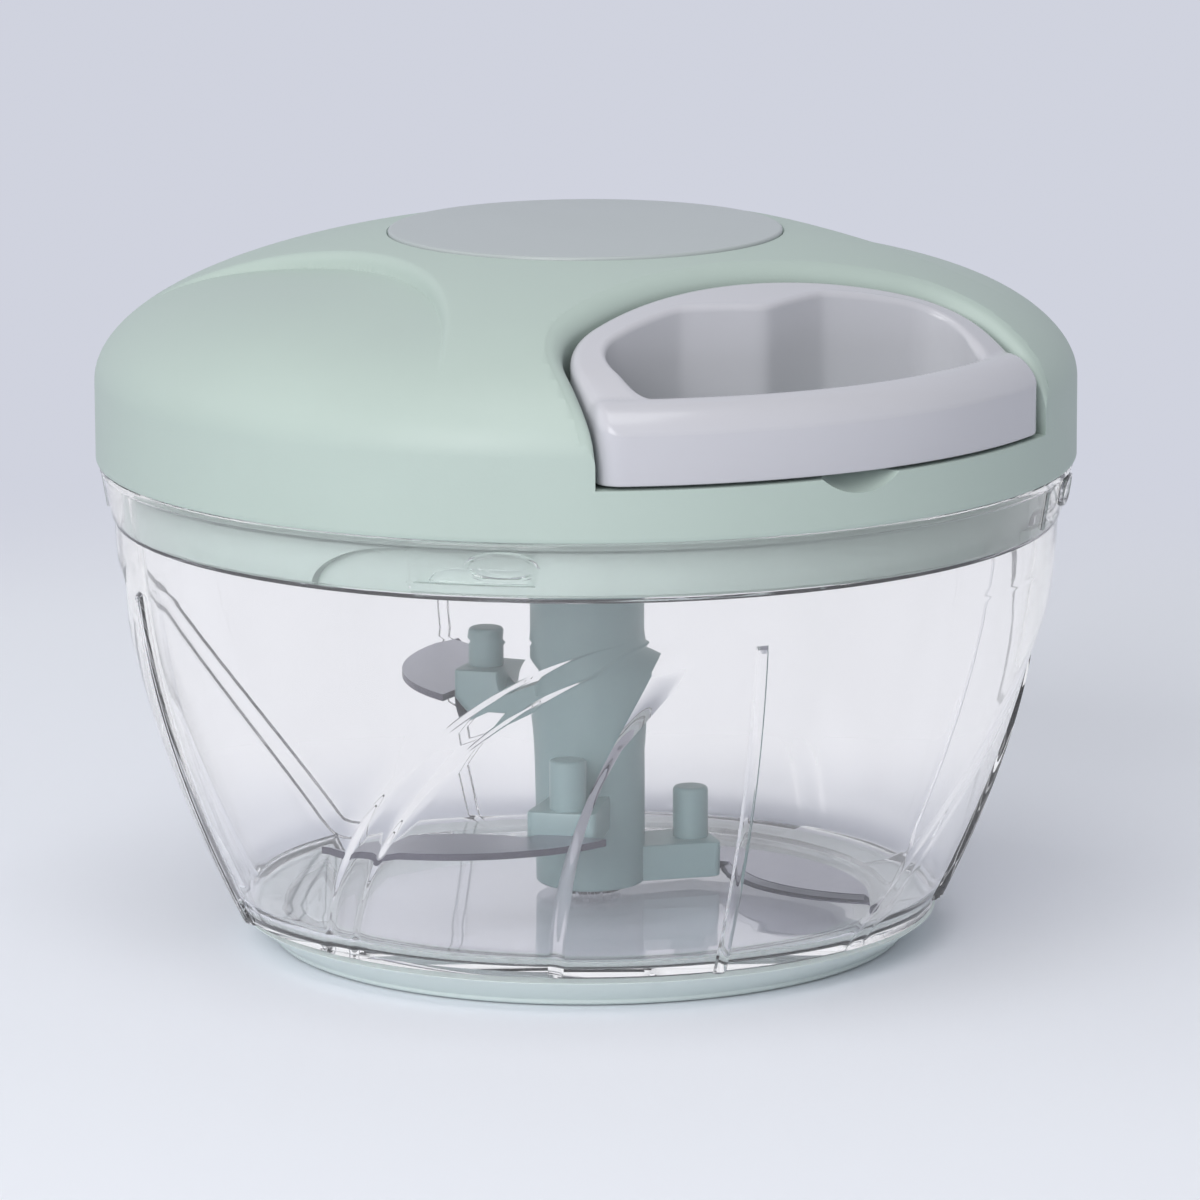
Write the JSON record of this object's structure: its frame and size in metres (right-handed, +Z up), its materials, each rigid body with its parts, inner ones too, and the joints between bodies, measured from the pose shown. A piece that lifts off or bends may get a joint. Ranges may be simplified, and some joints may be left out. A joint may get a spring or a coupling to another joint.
{
  "type": "manual food chopper",
  "caption": "Food chopper with a clear bowl, a domed lid that locks with a short turn, and a pull handle whose cord spins blades on a central holder.",
  "frame": {"origin": "middle of the base ring's underside, on the bowl's axis", "axes": "+Z up along the bowl's axis; the handle pulls out along -Y; +X to the right of someone who faces the handle"},
  "size_m": [0.126, 0.126, 0.0923],
  "materials": {
    "clear_plastic": "clear and glossy",
    "sage_plastic": "satin, very fine grain",
    "holder_plastic": "satin",
    "foot_plastic": "satin, soft",
    "handle_plastic": "glossy",
    "disc_plastic": "glossy",
    "mechanism_plastic": "plain",
    "steel": "brushed",
    "seal_rubber": "matte",
    "cord": "braided"
  },
  "bodies": {
    "bowl": {"bowl": "clear_plastic", "base_ring": "foot_plastic", "pivot_pin": "steel"},
    "lid_seal": {"lid_seal": "seal_rubber"},
    "lid": {"lid_cover": "sage_plastic", "top_disc": "disc_plastic", "lid_plate": "mechanism_plastic", "plate_screw_1": "steel", "plate_screw_2": "steel", "plate_screw_3": "steel", "plate_screw_4": "steel", "reel_axle": "steel", "thrust_washer": "steel", "spring_cup": "mechanism_plastic", "recoil_spring": "steel", "cord_guide": "steel", "cord_run": "cord"},
    "handle": {"pull_handle": "handle_plastic", "cord_knot": "cord"},
    "reel": {"cord_reel": "mechanism_plastic", "cord_winding": "cord", "pawl_1": "steel", "pawl_2": "steel"},
    "hub": {"drive_hub": "mechanism_plastic"},
    "blades": {"blade_holder": "holder_plastic", "blade_lower": "steel", "blade_middle": "steel", "blade_upper": "steel"}
  },
  "joints": [
    {"name": "lid_lift", "type": "slide", "parent": "bowl", "child": "lid_seal", "axis": [0, 0, 1], "range_m": [0, 0.1]},
    {"name": "lid_turn", "type": "hinge", "parent": "lid_seal", "child": "lid", "pos_m": [0, 0, 0.06], "axis": [0, 0, 1], "range_deg": [0, 14]},
    {"name": "handle_pull", "type": "slide", "parent": "lid", "child": "handle", "axis": [0, -1, 0], "range_m": [0, 0.25], "stiffness_N_per_m": 10, "springref_m": -0.1, "deforming": ["cord_run"]},
    {"name": "reel_turn", "type": "hinge", "parent": "lid", "child": "reel", "pos_m": [0, 0, 0.0744], "axis": [0, 0, 1], "range_deg": [-830, 0]},
    {"name": "hub_turn", "type": "hinge", "parent": "lid", "child": "hub", "pos_m": [0, 0, 0.068], "axis": [0, 0, 1], "range_deg": [-830, 0]},
    {"name": "blade_turn", "type": "hinge", "parent": "bowl", "child": "blades", "pos_m": [0, 0, 0.02], "axis": [0, 0, 1], "range_deg": [-830, 0]}
  ],
  "couplings": [
    {"joint": "reel_turn", "follows": "handle_pull", "rad_per_m": -57.14},
    {"joint": "hub_turn", "follows": "handle_pull", "rad_per_m": -57.14},
    {"joint": "blade_turn", "follows": "handle_pull", "rad_per_m": -57.14}
  ]
}
